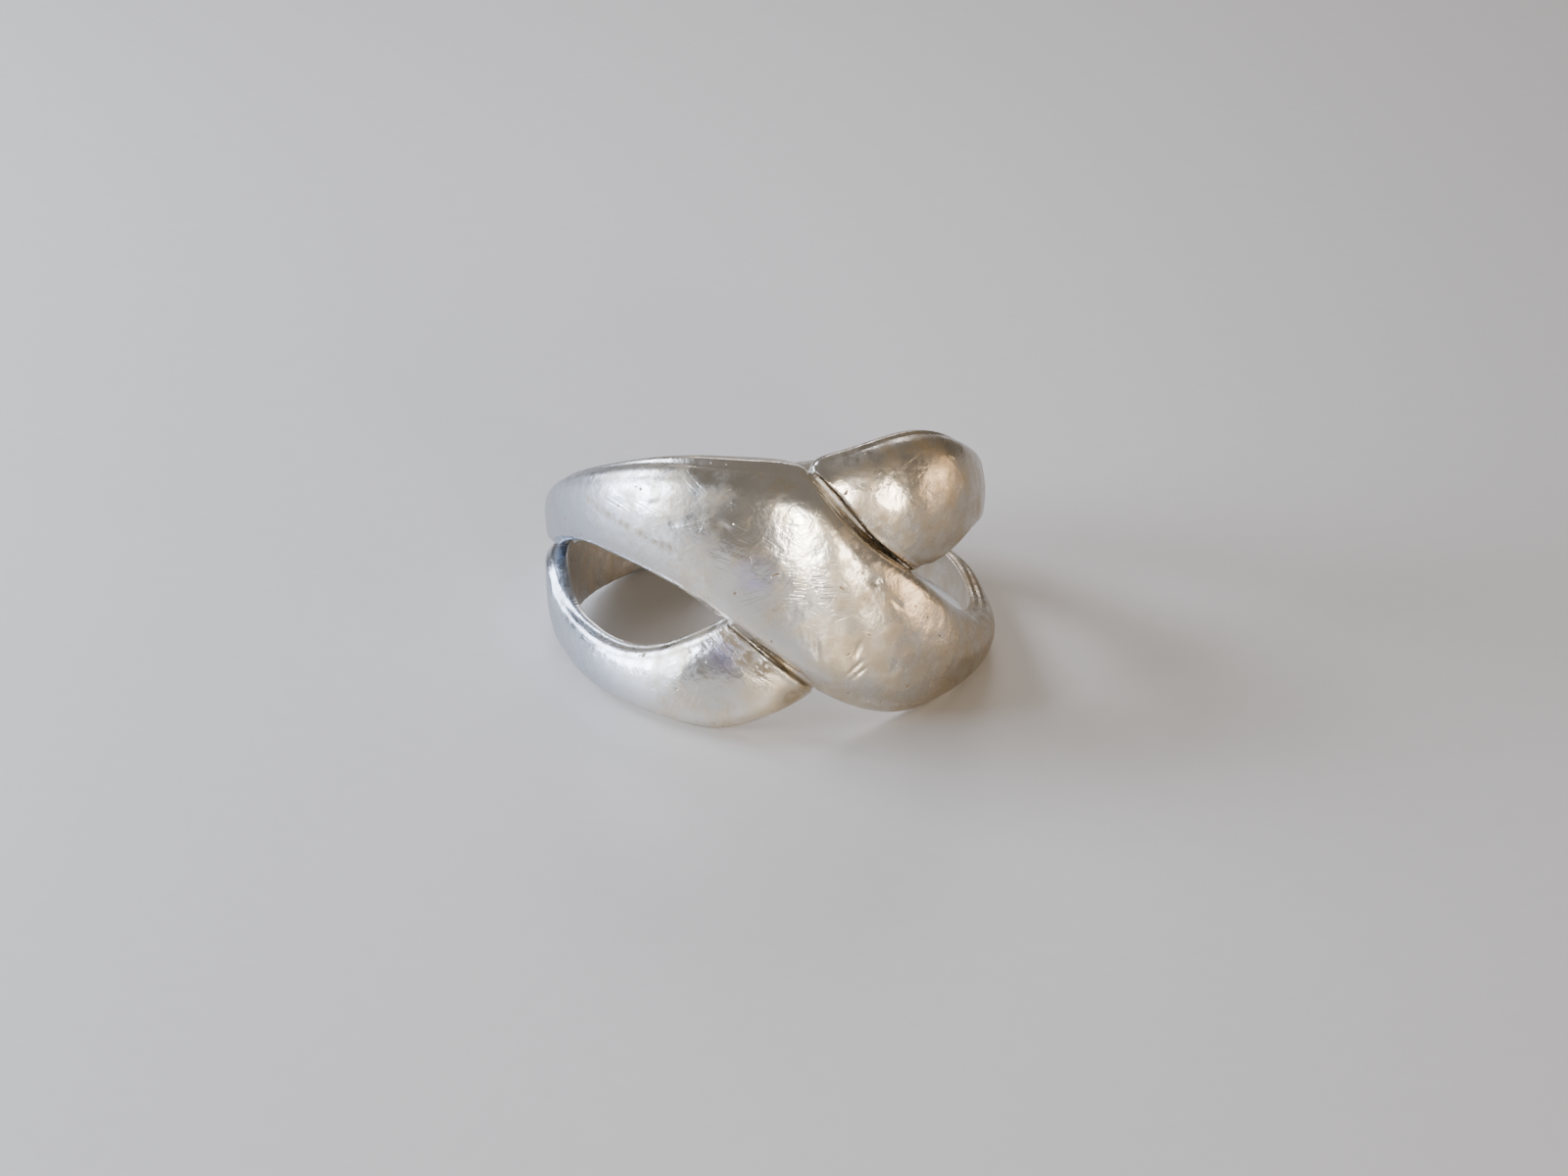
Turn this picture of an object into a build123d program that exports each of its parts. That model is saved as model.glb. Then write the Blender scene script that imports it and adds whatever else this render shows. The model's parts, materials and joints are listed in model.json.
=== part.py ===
from build123d import *
import math
import os

# A finger ring of two closed, linked bands. Each band is a domed strip that swells towards the
# front. The over band lies outside the under band at the front crossing and inside it at the
# back crossing, so the over band slides straight forward out of the nest.
# Millimetres, +Z up, front towards -Y. The ring leans back on its two front bulges and its back.

# Finger hole and walls
BORE_RADIUS = 9.0
FRONT_WAIST_RADIUS = 9.8
BACK_WAIST_RADIUS = 9.6
LAP_GAP = 0.08

# Bevel along every outer edge, as a share of the wall at that edge
BEVEL_SHARE = 0.3

# How much wider than the strip above it a pocket is cut
SEAM_GAP = 0.08
HIDDEN_GAP = 0.35

# How the ring stands
LEAN_ANGLE = 13.0
CENTRE_Y = 0.72
CENTRE_Z = 4.16

# Lofting and cutting
STEP_ANGLE = 15
HALF_LOFT_ANGLE = 105
LOFT_DEPTH = 0.4
LAP_ANGLE = 60
CUT_LENGTH = 30

# Dome of a strip: (height above the rim as a share of the dome, offset from the middle as a
# share of the half width)
DOME = [(0.0, 1.0), (0.57, 0.87), (0.89, 0.5), (1.0, 0.0), (0.89, -0.5), (0.57, -0.87), (0.0, -1.0)]

# Stations every 15 degrees from the back: (top edge, bottom edge, crown radius, top rim radius,
# bottom rim radius). Angle 0 is the front crossing and positive angles go towards +X.
OVER_STATIONS = [
    (1.20, -1.35, 10.10, 9.4, 9.4),     # -180, back crossing
    (1.80, -0.60, 10.10, 9.4, 9.6),
    (2.15, 0.05, 10.05, 9.4, 9.7),
    (2.40, 0.30, 10.00, 9.4, 9.8),
    (2.70, 0.42, 9.95, 9.4, 9.8),
    (3.10, 0.50, 9.95, 9.4, 9.8),
    (3.75, 1.00, 9.95, 9.4, 9.5),       # -90, left side
    (4.60, 1.55, 10.10, 9.4, 9.4),
    (5.25, 1.50, 10.40, 9.5, 9.4),
    (5.75, 0.85, 10.70, 9.6, 9.5),
    (5.97, -0.40, 11.00, 9.9, 9.8),
    (5.85, -2.45, 11.30, 10.2, 10.2),
    (5.15, -4.50, 11.40, 10.3, 10.3),   # 0, front crossing
    (2.15, -5.72, 11.30, 10.2, 10.2),
    (0.00, -6.00, 10.95, 9.9, 9.8),
    (-1.90, -5.70, 10.55, 9.6, 9.5),
    (-2.80, -5.30, 10.30, 9.5, 9.4),
    (-2.85, -4.75, 10.10, 9.4, 9.4),
    (-2.30, -4.02, 9.95, 9.4, 9.4),     # 90, right side
    (-1.55, -3.48, 9.95, 9.6, 9.4),
    (-0.95, -3.02, 9.95, 9.8, 9.4),
    (-0.45, -2.60, 10.00, 9.8, 9.4),
    (0.00, -2.35, 10.05, 9.7, 9.4),
    (0.60, -1.95, 10.10, 9.6, 9.4),
]
UNDER_STATIONS = [
    (1.15, -1.45, 10.40, 10.0, 10.0),   # -180, back crossing
    (0.65, -2.00, 10.40, 10.0, 9.9),
    (0.20, -2.35, 10.25, 9.9, 9.6),
    (0.24, -2.60, 10.05, 9.8, 9.4),
    (0.35, -2.85, 10.05, 9.95, 9.4),
    (0.22, -3.25, 10.10, 10.1, 9.4),
    (-0.90, -3.80, 10.05, 9.8, 9.4),    # -90, left side
    (-1.95, -4.50, 9.95, 9.4, 9.4),
    (-2.50, -5.10, 10.05, 9.4, 9.4),
    (-2.50, -5.62, 10.20, 9.4, 9.4),
    (-1.62, -6.05, 10.35, 9.4, 9.4),
    (-0.40, -5.65, 10.35, 9.4, 9.4),
    (4.85, -3.90, 10.20, 9.7, 9.4),     # 0, front crossing
    (5.95, 0.20, 10.60, 9.5, 9.4),
    (6.20, 0.00, 10.80, 9.5, 9.4),
    (5.75, 0.47, 10.60, 9.5, 9.4),
    (4.80, 0.88, 10.20, 9.4, 9.4),
    (3.95, 0.60, 9.90, 9.4, 9.4),
    (3.40, 0.10, 9.85, 9.4, 9.5),       # 90, right side
    (3.00, -0.45, 9.90, 9.4, 9.7),
    (2.65, -0.88, 9.95, 9.4, 9.8),
    (2.40, -0.38, 10.05, 9.4, 9.8),
    (2.10, -0.20, 10.25, 9.6, 9.9),
    (1.75, -0.75, 10.40, 9.9, 10.0),
]

# Local frame of the finger hole: z runs along the finger, x across the front
ring = Plane(
    origin=(0, CENTRE_Y, CENTRE_Z),
    x_dir=(1, 0, 0),
    z_dir=(0, math.sin(math.radians(LEAN_ANGLE)), math.cos(math.radians(LEAN_ANGLE))),
)
front = Plane(origin=ring.origin, x_dir=ring.x_dir, z_dir=-ring.y_dir)
back = Plane(origin=ring.origin, x_dir=-ring.x_dir, z_dir=ring.y_dir)


def station(stations, angle):
    """Edges, crown and rim of a strip at an angle that is a whole number of steps."""
    return stations[((angle + 180) // STEP_ANGLE) % len(stations)]


def bevel(rim):
    """Size of the bevel along an edge with this rim radius."""
    return BEVEL_SHARE * (rim - BORE_RADIUS)


def section_plane(angle):
    """Plane through the finger axis, with x pointing outwards at this angle."""
    turn = math.radians(angle)
    outward = ring.x_dir * math.sin(turn) - ring.y_dir * math.cos(turn)
    return Plane(origin=ring.origin, x_dir=outward, z_dir=outward.cross(ring.z_dir))


def half_strip(stations, middle_angle, facing):
    """Half of a closed strip, lofted a little past both ends and trimmed square."""
    inner_radius = BORE_RADIUS - LOFT_DEPTH
    first_angle = middle_angle - HALF_LOFT_ANGLE
    last_angle = middle_angle + HALF_LOFT_ANGLE
    with BuildPart() as half:
        for angle in range(first_angle, last_angle + 1, STEP_ANGLE):
            top, bottom, crown, top_rim, bottom_rim = station(stations, angle)
            middle = (top + bottom) / 2
            half_width = (top - bottom) / 2
            dome = []
            for rise, side in DOME:
                rim = top_rim if side > 0 else bottom_rim
                height = middle + (half_width - bevel(rim)) * side
                dome.append((rim + (crown - rim) * rise, height))
            top_foot = (top_rim - bevel(top_rim), top)
            bottom_foot = (bottom_rim - bevel(bottom_rim), bottom)
            with BuildSketch(section_plane(angle)):
                with BuildLine():
                    Line((inner_radius, top), top_foot)
                    Line(top_foot, dome[0])
                    Spline(*dome)
                    Line(dome[-1], bottom_foot)
                    Line(bottom_foot, (inner_radius, bottom))
                    Line((inner_radius, bottom), (inner_radius, top))
                make_face()
        loft()
        split(bisect_by=facing, keep=Keep.TOP)
    return half.part


def lap_cut(stations, facing, grow, radius, outside):
    """Solid under a strip's outline seen from the front or the back, inside or outside a radius."""
    upper = []
    lower = []
    for offset in range(-LAP_ANGLE, LAP_ANGLE + 1, STEP_ANGLE):
        angle = offset if facing is front else 180 + offset
        top, bottom, _, top_rim, bottom_rim = station(stations, angle)
        across = math.sin(math.radians(offset))
        upper.append((across * (top_rim - bevel(top_rim)), top + grow))
        lower.append((across * (bottom_rim - bevel(bottom_rim)), bottom - grow))
    with BuildPart() as cutter:
        with BuildSketch(facing):
            with BuildLine():
                Spline(*upper)
                Line(upper[-1], lower[-1])
                Spline(*reversed(lower))
                Line(lower[0], upper[0])
            make_face()
        extrude(amount=CUT_LENGTH)
        with BuildSketch(ring):
            Circle(radius)
        extrude(amount=CUT_LENGTH, both=True, mode=Mode.SUBTRACT if outside else Mode.INTERSECT)
    return cutter.part


os.makedirs("parts", exist_ok=True)

# Over band: its front lies over the under band, its back is cut away from outside to lie under it
over_front = half_strip(OVER_STATIONS, 0, front)
over_back = half_strip(OVER_STATIONS, 180, back)
front_clearance = lap_cut(UNDER_STATIONS, front, HIDDEN_GAP, FRONT_WAIST_RADIUS + LAP_GAP, outside=False)
back_pocket = lap_cut(UNDER_STATIONS, back, SEAM_GAP, BACK_WAIST_RADIUS, outside=True)

with BuildPart() as over_band:
    add(over_front)
    add(over_back)
    with BuildSketch(ring):
        Circle(BORE_RADIUS)
    extrude(amount=CUT_LENGTH, both=True, mode=Mode.SUBTRACT)
    add(front_clearance, mode=Mode.SUBTRACT)
    add(back_pocket, mode=Mode.SUBTRACT)
over_band.part.label = "over_band"
export_step(over_band.part, "parts/over_band.step")

# Under band: the same the other way round
under_front = half_strip(UNDER_STATIONS, 0, front)
under_back = half_strip(UNDER_STATIONS, 180, back)
front_pocket = lap_cut(OVER_STATIONS, front, SEAM_GAP, FRONT_WAIST_RADIUS, outside=True)
back_clearance = lap_cut(OVER_STATIONS, back, HIDDEN_GAP, BACK_WAIST_RADIUS + LAP_GAP, outside=False)

with BuildPart() as under_band:
    add(under_front)
    add(under_back)
    with BuildSketch(ring):
        Circle(BORE_RADIUS)
    extrude(amount=CUT_LENGTH, both=True, mode=Mode.SUBTRACT)
    add(front_pocket, mode=Mode.SUBTRACT)
    add(back_clearance, mode=Mode.SUBTRACT)
under_band.part.label = "under_band"
export_step(under_band.part, "parts/under_band.step")
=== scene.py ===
import json
import math

import bpy
import numpy as np
from mathutils import Matrix, Vector
from mathutils.bvhtree import BVHTree


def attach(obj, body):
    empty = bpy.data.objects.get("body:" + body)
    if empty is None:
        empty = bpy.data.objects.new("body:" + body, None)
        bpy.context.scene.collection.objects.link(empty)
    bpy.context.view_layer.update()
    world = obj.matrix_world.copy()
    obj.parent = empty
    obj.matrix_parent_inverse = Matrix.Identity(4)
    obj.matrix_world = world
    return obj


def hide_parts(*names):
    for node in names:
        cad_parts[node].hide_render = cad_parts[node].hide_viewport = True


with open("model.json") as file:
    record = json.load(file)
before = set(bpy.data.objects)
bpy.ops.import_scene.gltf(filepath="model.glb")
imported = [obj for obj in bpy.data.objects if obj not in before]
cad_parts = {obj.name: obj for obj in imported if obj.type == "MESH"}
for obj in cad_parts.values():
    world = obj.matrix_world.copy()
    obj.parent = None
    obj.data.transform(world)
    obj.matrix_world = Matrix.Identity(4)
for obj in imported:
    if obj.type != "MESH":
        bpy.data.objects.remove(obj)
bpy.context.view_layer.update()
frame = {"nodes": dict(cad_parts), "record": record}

MM = 0.001

# Radius at which the outer wall is laid flat for the scratches
WALL_RADIUS = 10.5

# The ring's own frame, from the finger hole: up the finger, and forwards to the crossing
hole = frame["record"]["mounts"][0]
CENTRE = np.array(hole["pos_m"]) / MM
FINGER = np.array(hole["axis"])
ACROSS = np.array([1.0, 0.0, 0.0])
FORWARD = np.cross(ACROSS, FINGER)

# Remeshing, in millimetres
VOXEL = 0.05
SMOOTH_ROUNDS = 12
SMOOTH_FACTOR = 0.5

# Depth to which the under band rolls down into the seam, and the bead or groove beside it
ROLL_DEPTH = 0.03
ROLL_WIDTH = 0.75
BEAD_HEIGHT = 0.05
BEAD_WIDTH = 0.09
BEAD_FROM_SEAM = 0.30
GROOVE_FROM_SEAM = 0.34

# Where the seam shaping fades out towards the sides, as cosines of the angle from the front
FRONT_FADE = (0.35, 0.75)

# Radii between which the inner wall blends into the rims
INNER_WALL = (9.02, 9.15)

# Camera, from the ring's centre
VIEW_AZIMUTH = -12.5
VIEW_ELEVATION = 25.0
VIEW_DISTANCE = 0.177
VIEW_LENS = 89.8
SHIFT_X = 0.0106
SHIFT_Y = -0.0275

# Marks, painted shade and painted gold highlights on the bands: places as (angle, height, radius) in the
# ring's own frame
SCRATCHES_AT = (-1.5, 0.0, 11.3)
PITS_AT = ((-24.4, -1.6, 9.95), (-21.0, -2.0, 10.2), (-18.5, -2.6, 10.3), (-14.5, -3.2, 10.3))
STREAK_ENDS = ((-61.0, 4.1, 10.35), (-34.0, 2.3, 10.85))
STREAK_COUNT = 15
# Places of a darker patch on the top of the bulge
TOP_DARK_AT = ((12.0, 5.6, 9.6), (21.0, 5.8, 9.7), (31.0, 5.6, 10.0))
# Painted shade: the under band's end, darkened where it runs under the over band
END_SHADE_AT = ((-3.8, -4.2, 9.9), (-7.4, -4.6, 9.9), (-7.0, -5.3, 9.8))
# Places of the painted gold highlights
GOLD_HIGHLIGHT_AT = ((4.0, -2.3, 11.3), (-13.0, -4.5, 10.1))
SEAM_STAIN_AT = ((11.0, 3.3, 10.3), (16.2, 2.7, 10.6), (23.0, 2.4, 10.7))
LILAC_AT = ((-14.5, 1.1, 11.3), (-23.5, -2.6, 10.3))

# Dents: angle, height, half width across and along the slope, depth, tilt
DENTS = (
    (7.2, -2.45, 0.13, 0.42, 0.060, -20.0),
    (6.6, -3.25, 0.42, 0.11, 0.060, 40.0),
    (7.6, -3.50, 0.34, 0.09, 0.050, 35.0),
    (-1.9, -2.20, 0.14, 0.45, 0.040, 5.0),
    (-15.0, 5.25, 0.26, 0.08, 0.050, 15.0),
    (-20.6, 3.17, 0.40, 0.20, 0.030, -35.0),
    (-32.6, 3.40, 0.28, 0.16, 0.030, -25.0),
    (-37.4, 4.15, 0.30, 0.18, 0.025, 0.0),
    (12.0, 0.4, 0.30, 0.22, 0.025, 0.0),
    (17.4, -0.7, 0.35, 0.12, 0.030, -40.0),
)


def ring_point(angle, height, radius):
    """A place in millimetres from its angle round the finger, height along it and radius."""
    turn = math.radians(angle)
    outward = ACROSS * math.sin(turn) + FORWARD * math.cos(turn)
    return CENTRE + outward * radius + FINGER * height


def ring_coordinates(points):
    """Angle from the crossing in radians, height along the finger and radius, for points."""
    offset = points - CENTRE
    height = offset @ FINGER
    right = offset @ ACROSS
    forward = offset @ FORWARD
    return np.arctan2(right, forward), height, np.hypot(right, forward)


def mesh_array(values, name, width=3):
    """One property of a mesh's elements as an array."""
    flat = np.empty(len(values) * width)
    values.foreach_get(name, flat)
    return flat.reshape(-1, width)


def apply_modifiers(obj):
    """Replaces an object's mesh with its evaluated one."""
    evaluated = obj.evaluated_get(bpy.context.evaluated_depsgraph_get())
    mesh = bpy.data.meshes.new_from_object(evaluated)
    obj.modifiers.clear()
    obj.data = mesh


def fine_copy(node, name):
    """An even, softly rounded copy of a CAD band, in millimetres."""
    mesh = node.data.copy()
    mesh.materials.clear()
    mesh.transform(Matrix.Scale(1 / MM, 4) @ node.matrix_world)
    obj = bpy.data.objects.new(name, mesh)
    bpy.context.collection.objects.link(obj)
    remesh = obj.modifiers.new("remesh", "REMESH")
    remesh.mode = "VOXEL"
    remesh.voxel_size = VOXEL
    remesh.use_smooth_shade = True
    smooth = obj.modifiers.new("smooth", "SMOOTH")
    smooth.factor = SMOOTH_FACTOR
    smooth.iterations = SMOOTH_ROUNDS
    apply_modifiers(obj)
    return obj


def seam_distance(obj, other, reach=3.0):
    """Distance from each vertex of a band to the other band, in millimetres."""
    tree = BVHTree.FromObject(other, bpy.context.evaluated_depsgraph_get())
    distances = np.full(len(obj.data.vertices), reach)
    for vertex in obj.data.vertices:
        found = tree.find_nearest(vertex.co, reach)
        if found[0] is not None:
            distances[vertex.index] = found[3]
    return distances


def store(obj, name, values):
    """Keeps one number per vertex for the materials."""
    attribute = obj.data.attributes.new(name, "FLOAT", "POINT")
    attribute.data.foreach_set("value", np.asarray(values, dtype=np.float32))


def smooth_step(values, start, end):
    """Rises smoothly from 0 at start to 1 at end."""
    share = np.clip((values - start) / (end - start), 0, 1)
    return share * share * (3 - 2 * share)


def sink(obj, depth):
    """Moves the outer surface towards the finger by a depth per vertex, in millimetres."""
    points = mesh_array(obj.data.vertices, "co")
    normals = mesh_array(obj.data.vertex_normals, "vector")
    angle = ring_coordinates(points)[0]
    outward = ACROSS * np.sin(angle)[:, None] + FORWARD * np.cos(angle)[:, None]
    facing = smooth_step((normals * outward).sum(axis=1), 0.05, 0.35)
    points -= normals * (facing * depth)[:, None]
    obj.data.vertices.foreach_set("co", points.ravel())
    obj.data.update()


def dent_depth(obj):
    """Depth of all the dents at each vertex of a band."""
    angle, height, radius = ring_coordinates(mesh_array(obj.data.vertices, "co"))
    depth = np.zeros(len(radius))
    for dent_angle, dent_height, half_across, half_along, deep, tilt in DENTS:
        across = (angle - math.radians(dent_angle)) * radius
        along = height - dent_height
        turn = math.radians(tilt)
        u = (across * math.cos(turn) + along * math.sin(turn)) / half_across
        v = (along * math.cos(turn) - across * math.sin(turn)) / half_along
        depth += deep * np.exp(-(u * u + v * v))
    return depth


# ---------------------------------------------------------------- materials


class Nodes:
    """Short calls for building one material's node tree."""

    def __init__(self, name):
        self.material = bpy.data.materials.new(name)
        self.material.use_nodes = True
        self.tree = self.material.node_tree
        self.shader = self.tree.nodes["Principled BSDF"]
        self.coordinates = self.add("ShaderNodeTexCoord").outputs["Object"]

    def unroll(self):
        """Coordinates of the outer wall laid flat: round the finger, along it, in metres."""
        lean = math.atan2(FINGER[1], FINGER[2])
        local = self.add("ShaderNodeMapping", {"Vector": self.coordinates}, vector_type="TEXTURE")
        local.inputs["Location"].default_value = CENTRE * MM
        local.inputs["Rotation"].default_value = (-lean, 0, 0)
        parts = self.add("ShaderNodeSeparateXYZ", {"Vector": local.outputs["Vector"]}).outputs
        self.across = parts["X"]
        turn = self.math("ARCTAN2", parts["X"], self.math("MULTIPLY", parts["Y"], -1.0))
        around = self.math("MULTIPLY", turn, WALL_RADIUS * MM)
        self.flat = self.add("ShaderNodeCombineXYZ", {"X": around, "Y": parts["Z"]}).outputs["Vector"]

    def add(self, kind, inputs=None, **settings):
        """A new node with its settings, and values or links for its inputs."""
        node = self.tree.nodes.new(kind)
        for key, value in settings.items():
            setattr(node, key, value)
        for key, value in (inputs or {}).items():
            self.plug(node.inputs[key], value)
        return node

    def plug(self, socket, value):
        if isinstance(value, bpy.types.NodeSocket):
            self.tree.links.new(value, socket)
        else:
            socket.default_value = value

    def math(self, operation, a, b=0.0):
        return self.add("ShaderNodeMath", {0: a, 1: b}, operation=operation).outputs[0]

    def highest(self, *values):
        result = values[0]
        for value in values[1:]:
            result = self.math("MAXIMUM", result, value)
        return result

    def total(self, *values):
        result = values[0]
        for value in values[1:]:
            result = self.math("ADD", result, value)
        return result

    def times(self, *values):
        result = values[0]
        for value in values[1:]:
            result = self.math("MULTIPLY", result, value)
        return result

    def remap(self, value, low, high, to_low=0.0, to_high=1.0):
        inputs = {"Value": value, "From Min": low, "From Max": high, "To Min": to_low, "To Max": to_high}
        return self.add("ShaderNodeMapRange", inputs).outputs["Result"]

    def mix(self, factor, a, b):
        node = self.add("ShaderNodeMix", data_type="RGBA")
        self.plug(node.inputs["Factor"], factor)
        self.plug(node.inputs["A"], a)
        self.plug(node.inputs["B"], b)
        return node.outputs["Result"]

    def noise(self, scale, detail=4.0, roughness=0.5, vector=None):
        inputs = {"Scale": scale, "Detail": detail, "Roughness": roughness}
        inputs["Vector"] = self.coordinates if vector is None else vector
        return self.add("ShaderNodeTexNoise", inputs).outputs["Fac"]

    def drawn_out(self, length, turn):
        """Flat coordinates drawn out along a direction, for marks that all run that way."""
        mapping = self.add("ShaderNodeMapping", {"Vector": self.flat}, vector_type="TEXTURE")
        mapping.inputs["Scale"].default_value = (length, 1, 1)
        mapping.inputs["Rotation"].default_value = (0, 0, math.radians(turn))
        return mapping.outputs["Vector"]

    def near(self, places, inner, outer):
        """1 within inner millimetres of any of the places, falling to 0 at outer."""
        spots = []
        for place in places:
            inputs = {0: self.coordinates, 1: tuple(ring_point(*place) * MM)}
            gap = self.add("ShaderNodeVectorMath", inputs, operation="DISTANCE").outputs["Value"]
            spots.append(self.remap(gap, inner * MM, outer * MM, 1.0, 0.0))
        return self.highest(*spots)

    def hairlines(self, scale, length, turn, width):
        """Thin scratches where a drawn-out noise crosses its middle."""
        line = self.noise(scale, detail=1.0, vector=self.drawn_out(length, turn))
        away = self.math("ABSOLUTE", self.math("SUBTRACT", line, 0.5))
        return self.remap(away, 0.0, width, 1.0, 0.0)


def silver(name):
    """Worn sterling silver: satin, scratched, tinted in places, tarnished in the seams, with painted
    reflections, highlights and shade.
    """
    n = Nodes(name)
    n.unroll()
    seam = n.add("ShaderNodeAttribute", attribute_name="seam", attribute_type="GEOMETRY").outputs["Fac"]
    inside = n.add("ShaderNodeAttribute", attribute_name="inside", attribute_type="GEOMETRY").outputs["Fac"]
    cloud = n.noise(230.0, detail=6.0, roughness=0.6)
    mottle = n.noise(900.0, detail=5.0, roughness=0.65)
    fine = n.noise(3200.0, detail=5.0, roughness=0.65)

    # scratches in patches all over, and a close set of level ones at the front
    level_lines = n.hairlines(4200.0, 9.0, -4.0, 0.06)
    level_patch = n.remap(n.noise(1300.0), 0.50, 0.56)
    scratches = n.times(level_lines, n.near((SCRATCHES_AT,), 0.6, 2.0), level_patch, 0.8)
    for scale, turn in ((2600.0, 20.0), (2300.0, -42.0), (2800.0, 65.0), (2500.0, 160.0)):
        line = n.hairlines(scale, 12.0, turn, 0.022)
        patch = n.noise(500.0, detail=2.0, vector=n.drawn_out(1.5, turn))
        scratches = n.highest(scratches, n.times(line, n.remap(patch, 0.58, 0.66), 0.3))

    # tarnish and painted shade: tarnish in the seams, stains by the seam, the streak, pits and a rough
    # patch by the left eye; painted shade at the under band's end; a darker patch on the top
    in_seam = n.times(n.remap(seam, 0.05, 0.09, 1.0, 0.0), n.remap(mottle, 0.3, 0.6, 0.3, 0.8))
    # a darker mottled patch on the top of the bulge
    top_dark_patch = n.times(n.near(TOP_DARK_AT, 0.3, 1.5), n.remap(mottle, 0.36, 0.56), 0.85)
    seam_stain = n.times(n.near(SEAM_STAIN_AT, 0.2, 1.0), n.remap(mottle, 0.42, 0.54), 0.6)
    streak_places = np.linspace(STREAK_ENDS[0], STREAK_ENDS[1], STREAK_COUNT)
    streak = n.times(n.near(streak_places, 0.05, 0.35), n.remap(fine, 0.38, 0.52), 0.8)
    # painted shade at the under band's end, where it runs under the over band
    end_shade = n.times(n.near(END_SHADE_AT, 0.3, 1.1), n.remap(mottle, 0.3, 0.6, 0.7, 0.95))
    rough_patch = n.near(PITS_AT, 0.3, 1.0)
    ragged = n.noise(2600.0, detail=4.0, roughness=0.7, vector=n.drawn_out(3.0, -40.0))
    holes = n.times(rough_patch, n.remap(ragged, 0.48, 0.53))
    pits = n.highest(holes, n.remap(n.noise(2600.0, detail=1.0), 0.73, 0.77))
    blotch = n.times(n.remap(cloud, 0.50, 0.62), n.remap(mottle, 0.38, 0.6), 0.4)
    tarnish_and_shade = n.highest(in_seam, end_shade, top_dark_patch, seam_stain, streak, n.times(pits, 0.95), blotch)
    # the inner wall darker and browner
    tarnish_and_shade = n.highest(tarnish_and_shade, n.times(inside, n.remap(mottle, 0.35, 0.65, 0.25, 0.5)))
    tarnish_and_shade = n.math("MINIMUM", tarnish_and_shade, 0.95)

    # tints over the bright metal: a painted brown reflection to the right, a painted blue reflection at the
    # left end, painted gold highlights, and lilac spots
    bright = n.mix(n.remap(cloud, 0.35, 0.65), (0.86, 0.835, 0.785, 1), (0.66, 0.63, 0.575, 1))
    bright = n.mix(n.times(n.remap(mottle, 0.46, 0.62), 0.7), bright, (0.80, 0.68, 0.50, 1))
    # painted reflection of a dim warm room: dark brown over the right side
    painted_warm_reflection = n.times(n.remap(n.across, 0.0, 7.0 * MM), n.remap(mottle, 0.3, 0.7, 0.6, 0.9))
    bright = n.mix(painted_warm_reflection, bright, (0.34, 0.27, 0.18, 1))
    # painted reflection of a cool window: blue-grey over the left end
    painted_cool_reflection = n.times(n.remap(n.across, -6.0 * MM, -9.3 * MM), 0.85)
    bright = n.mix(painted_cool_reflection, bright, (0.40, 0.45, 0.53, 1))
    # painted highlights: bright gold spots where warm light would be reflected
    painted_gold_highlight = n.times(n.near(GOLD_HIGHLIGHT_AT, 0.4, 1.6), n.remap(mottle, 0.35, 0.6, 0.5, 1.0), 0.8)
    bright = n.mix(painted_gold_highlight, bright, (0.97, 0.80, 0.52, 1))
    lilac = n.times(n.near(LILAC_AT, 0.2, 1.2), n.remap(mottle, 0.40, 0.56), 0.7)
    bright = n.mix(lilac, bright, (0.62, 0.60, 0.96, 1))
    # colour of the tarnish and of the painted shade
    dark = n.mix(fine, (0.12, 0.09, 0.06, 1), (0.40, 0.30, 0.18, 1))
    n.plug(n.shader.inputs["Base Color"], n.mix(tarnish_and_shade, bright, dark))
    n.plug(n.shader.inputs["Metallic"], n.remap(tarnish_and_shade, 0.0, 1.0, 1.0, 0.3))

    rough = n.total(
        n.remap(mottle, 0.3, 0.7, 0.17, 0.28),
        n.times(n.remap(cloud, 0.4, 0.7), 0.06),
        n.times(tarnish_and_shade, 0.25),
        n.times(scratches, 0.15),
        n.times(rough_patch, 0.12),
    )
    n.plug(n.shader.inputs["Roughness"], rough)

    waves = n.total(n.times(n.noise(330.0, detail=2.0), 8.0), n.times(n.noise(1500.0, detail=2.0), 3.0))
    height = n.total(
        n.times(scratches, -1.6),
        n.times(fine, 0.8),
        n.times(mottle, 3.5),
        n.times(pits, -1.2),
        waves,
        n.times(rough_patch, ragged, -9.0),
    )
    bump = n.add("ShaderNodeBump", {"Height": height, "Strength": 0.45, "Distance": 0.02 * MM})
    n.plug(n.shader.inputs["Normal"], bump.outputs["Normal"])
    return n.material


def floor_material():
    """Pale, plain and slightly satin."""
    n = Nodes("floor")
    grain = n.noise(900.0, detail=4.0)
    n.plug(n.shader.inputs["Base Color"], n.mix(grain, (0.68, 0.645, 0.60, 1), (0.72, 0.685, 0.64, 1)))
    n.shader.inputs["Roughness"].default_value = 0.45
    return n.material


# ---------------------------------------------------------------- the ring

over_silver = fine_copy(frame["nodes"]["over_band"], "over_band_silver")
under_silver = fine_copy(frame["nodes"]["under_band"], "under_band_silver")
over_gap = seam_distance(over_silver, under_silver)
under_gap = seam_distance(under_silver, over_silver)

# the under band rolls down into the seam at the front, with a fine bead on the shoulder
angle = ring_coordinates(mesh_array(under_silver.data.vertices, "co"))[0]
front_share = smooth_step(np.cos(angle), *FRONT_FADE)
roll = ROLL_DEPTH * (1 - smooth_step(under_gap, 0.1, ROLL_WIDTH))
bead = BEAD_HEIGHT * np.exp(-(((under_gap - BEAD_FROM_SEAM) / BEAD_WIDTH) ** 2))
sink(under_silver, (roll - bead) * front_share)

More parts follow.
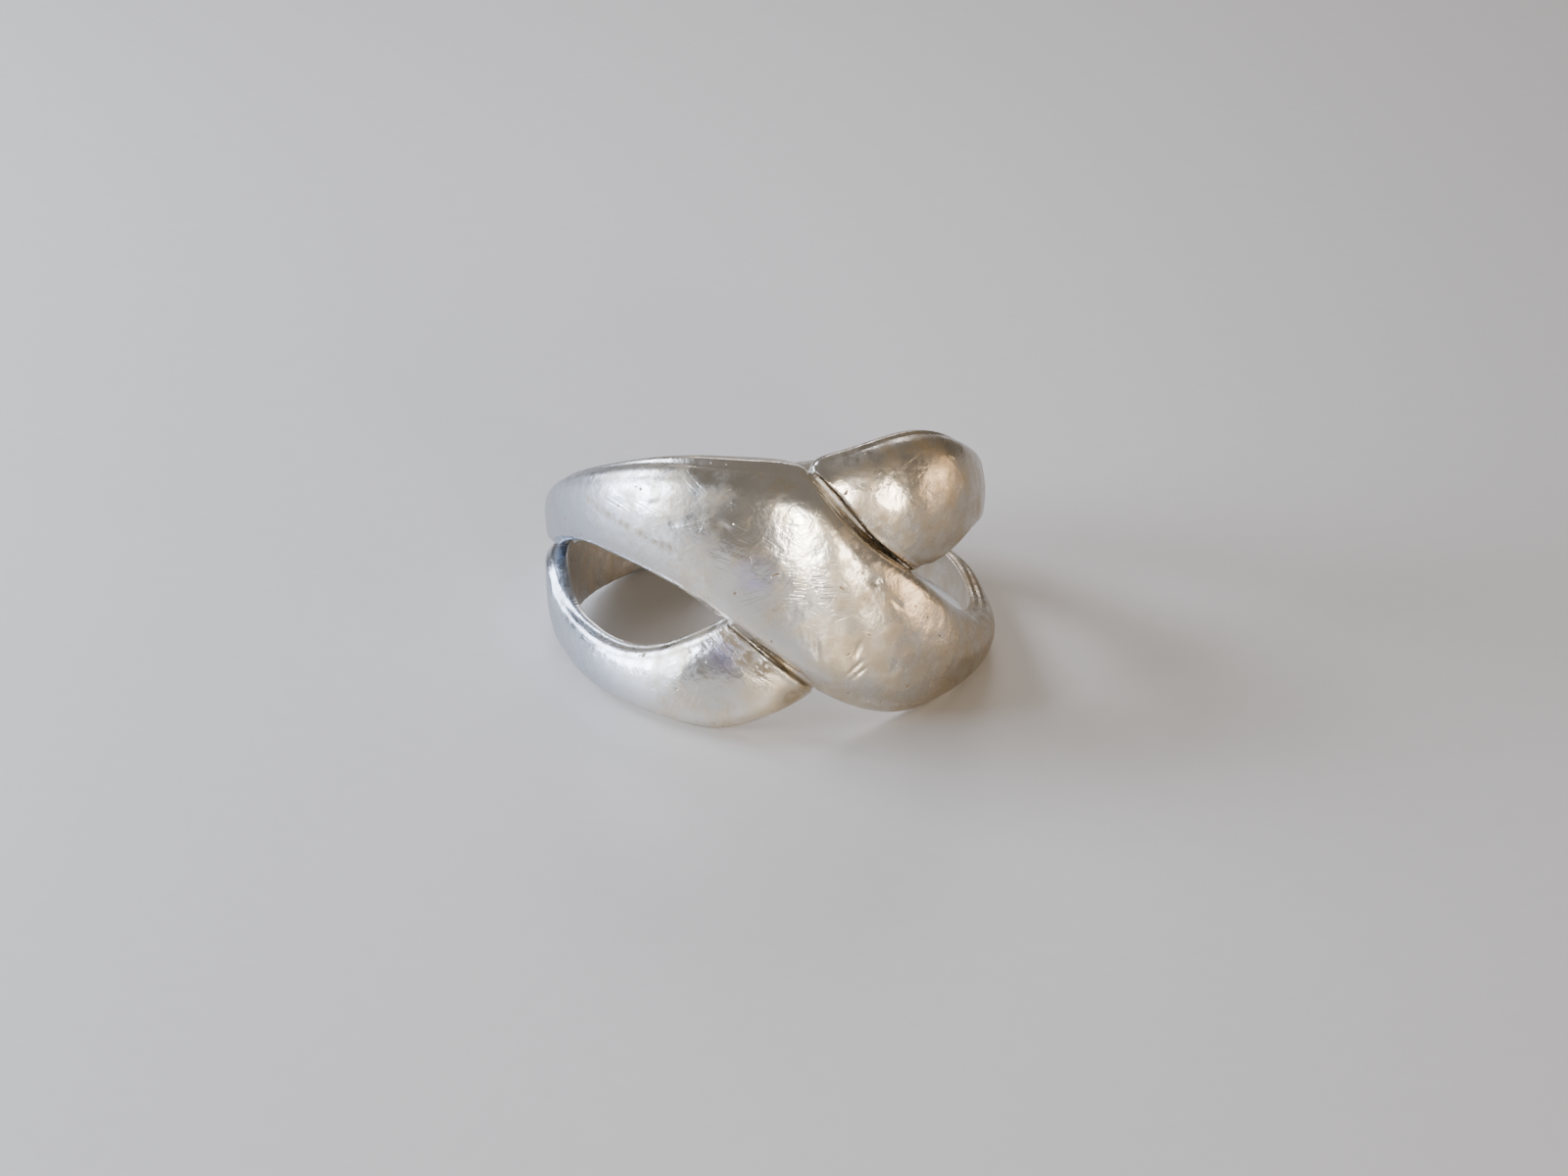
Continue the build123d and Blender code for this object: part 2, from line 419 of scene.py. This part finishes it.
# the over band has a fine groove along its edge, and the dents
angle = ring_coordinates(mesh_array(over_silver.data.vertices, "co"))[0]
front_share = smooth_step(np.cos(angle), *FRONT_FADE)
groove = BEAD_HEIGHT * np.exp(-(((over_gap - GROOVE_FROM_SEAM) / BEAD_WIDTH) ** 2))
sink(over_silver, groove * front_share + dent_depth(over_silver))

for obj, gap, node, body in (
    (over_silver, over_gap, "over_band", "over"),
    (under_silver, under_gap, "under_band", "under"),
):
    radius = ring_coordinates(mesh_array(obj.data.vertices, "co"))[2]
    store(obj, "seam", gap)
    store(obj, "inside", 1 - smooth_step(radius, *INNER_WALL))
    obj.data.transform(Matrix.Scale(MM, 4))
    obj.data.materials.append(silver(node + "_metal"))
    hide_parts(node)
    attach(obj, body)


# ---------------------------------------------------------------- studio


def plane(name, width, depth, material):
    """A flat rectangle at height 0."""
    mesh = bpy.data.meshes.new(name)
    x = width / 2
    y = depth / 2
    mesh.from_pydata([(-x, -y, 0), (x, -y, 0), (x, y, 0), (-x, y, 0)], [], [(0, 1, 2, 3)])
    mesh.materials.append(material)
    obj = bpy.data.objects.new(name, mesh)
    bpy.context.collection.objects.link(obj)
    return obj


def softbox(name, azimuth, elevation, distance, size, brightness, colour):
    """A rectangular light facing the ring from a direction, azimuth 0 being in front."""
    side = math.radians(azimuth)
    rise = math.radians(elevation)
    data = bpy.data.lights.new(name, "AREA")
    data.shape = "RECTANGLE"
    data.size = size[0]
    data.size_y = size[1]
    data.energy = brightness * math.pi * size[0] * size[1]
    data.color = colour
    obj = bpy.data.objects.new(name, data)
    direction = Vector((math.sin(side) * math.cos(rise), -math.cos(side) * math.cos(rise), math.sin(rise)))
    obj.location = direction * distance
    obj.rotation_euler = direction.to_track_quat("Z", "Y").to_euler()
    bpy.context.collection.objects.link(obj)
    return obj


floor = plane("floor", 1.2, 1.2, floor_material())

world = bpy.data.worlds.new("studio")
world.use_nodes = True
world.node_tree.nodes["Background"].inputs["Color"].default_value = (1.0, 0.90, 0.78, 1)
world.node_tree.nodes["Background"].inputs["Strength"].default_value = 0.22
bpy.context.scene.world = world

# name, azimuth, elevation, distance, size, brightness, colour
softbox("window", -90.0, 16.0, 0.20, (0.13, 0.07), 24.0, (0.70, 0.80, 1.0))
softbox("back window", -126.0, 34.0, 0.22, (0.11, 0.09), 16.0, (0.74, 0.82, 1.0))
softbox("key", 5.0, 14.5, 0.24, (0.034, 0.022), 95.0, (1.0, 0.93, 0.85))
softbox("lamp", 38.0, 9.0, 0.24, (0.018, 0.022), 95.0, (1.0, 0.86, 0.68))
softbox("room", 82.0, 4.0, 0.22, (0.12, 0.045), 6.0, (1.0, 0.72, 0.46))
softbox("behind", 165.0, 28.0, 0.25, (0.10, 0.06), 4.0, (0.97, 0.92, 0.95))

centre = Vector(hole["pos_m"])
azimuth = math.radians(VIEW_AZIMUTH)
elevation = math.radians(VIEW_ELEVATION)
direction = Vector(
    (math.sin(azimuth) * math.cos(elevation), -math.cos(azimuth) * math.cos(elevation), math.sin(elevation))
)
camera_data = bpy.data.cameras.new("camera")
camera_data.lens = VIEW_LENS
camera_data.sensor_width = 36.0
camera_data.shift_x = SHIFT_X
camera_data.shift_y = SHIFT_Y
camera_data.clip_start = 0.005
camera = bpy.data.objects.new("camera", camera_data)
camera.location = centre + direction * VIEW_DISTANCE
camera.rotation_euler = (-direction).to_track_quat("-Z", "Y").to_euler()
bpy.context.collection.objects.link(camera)
bpy.context.scene.camera = camera
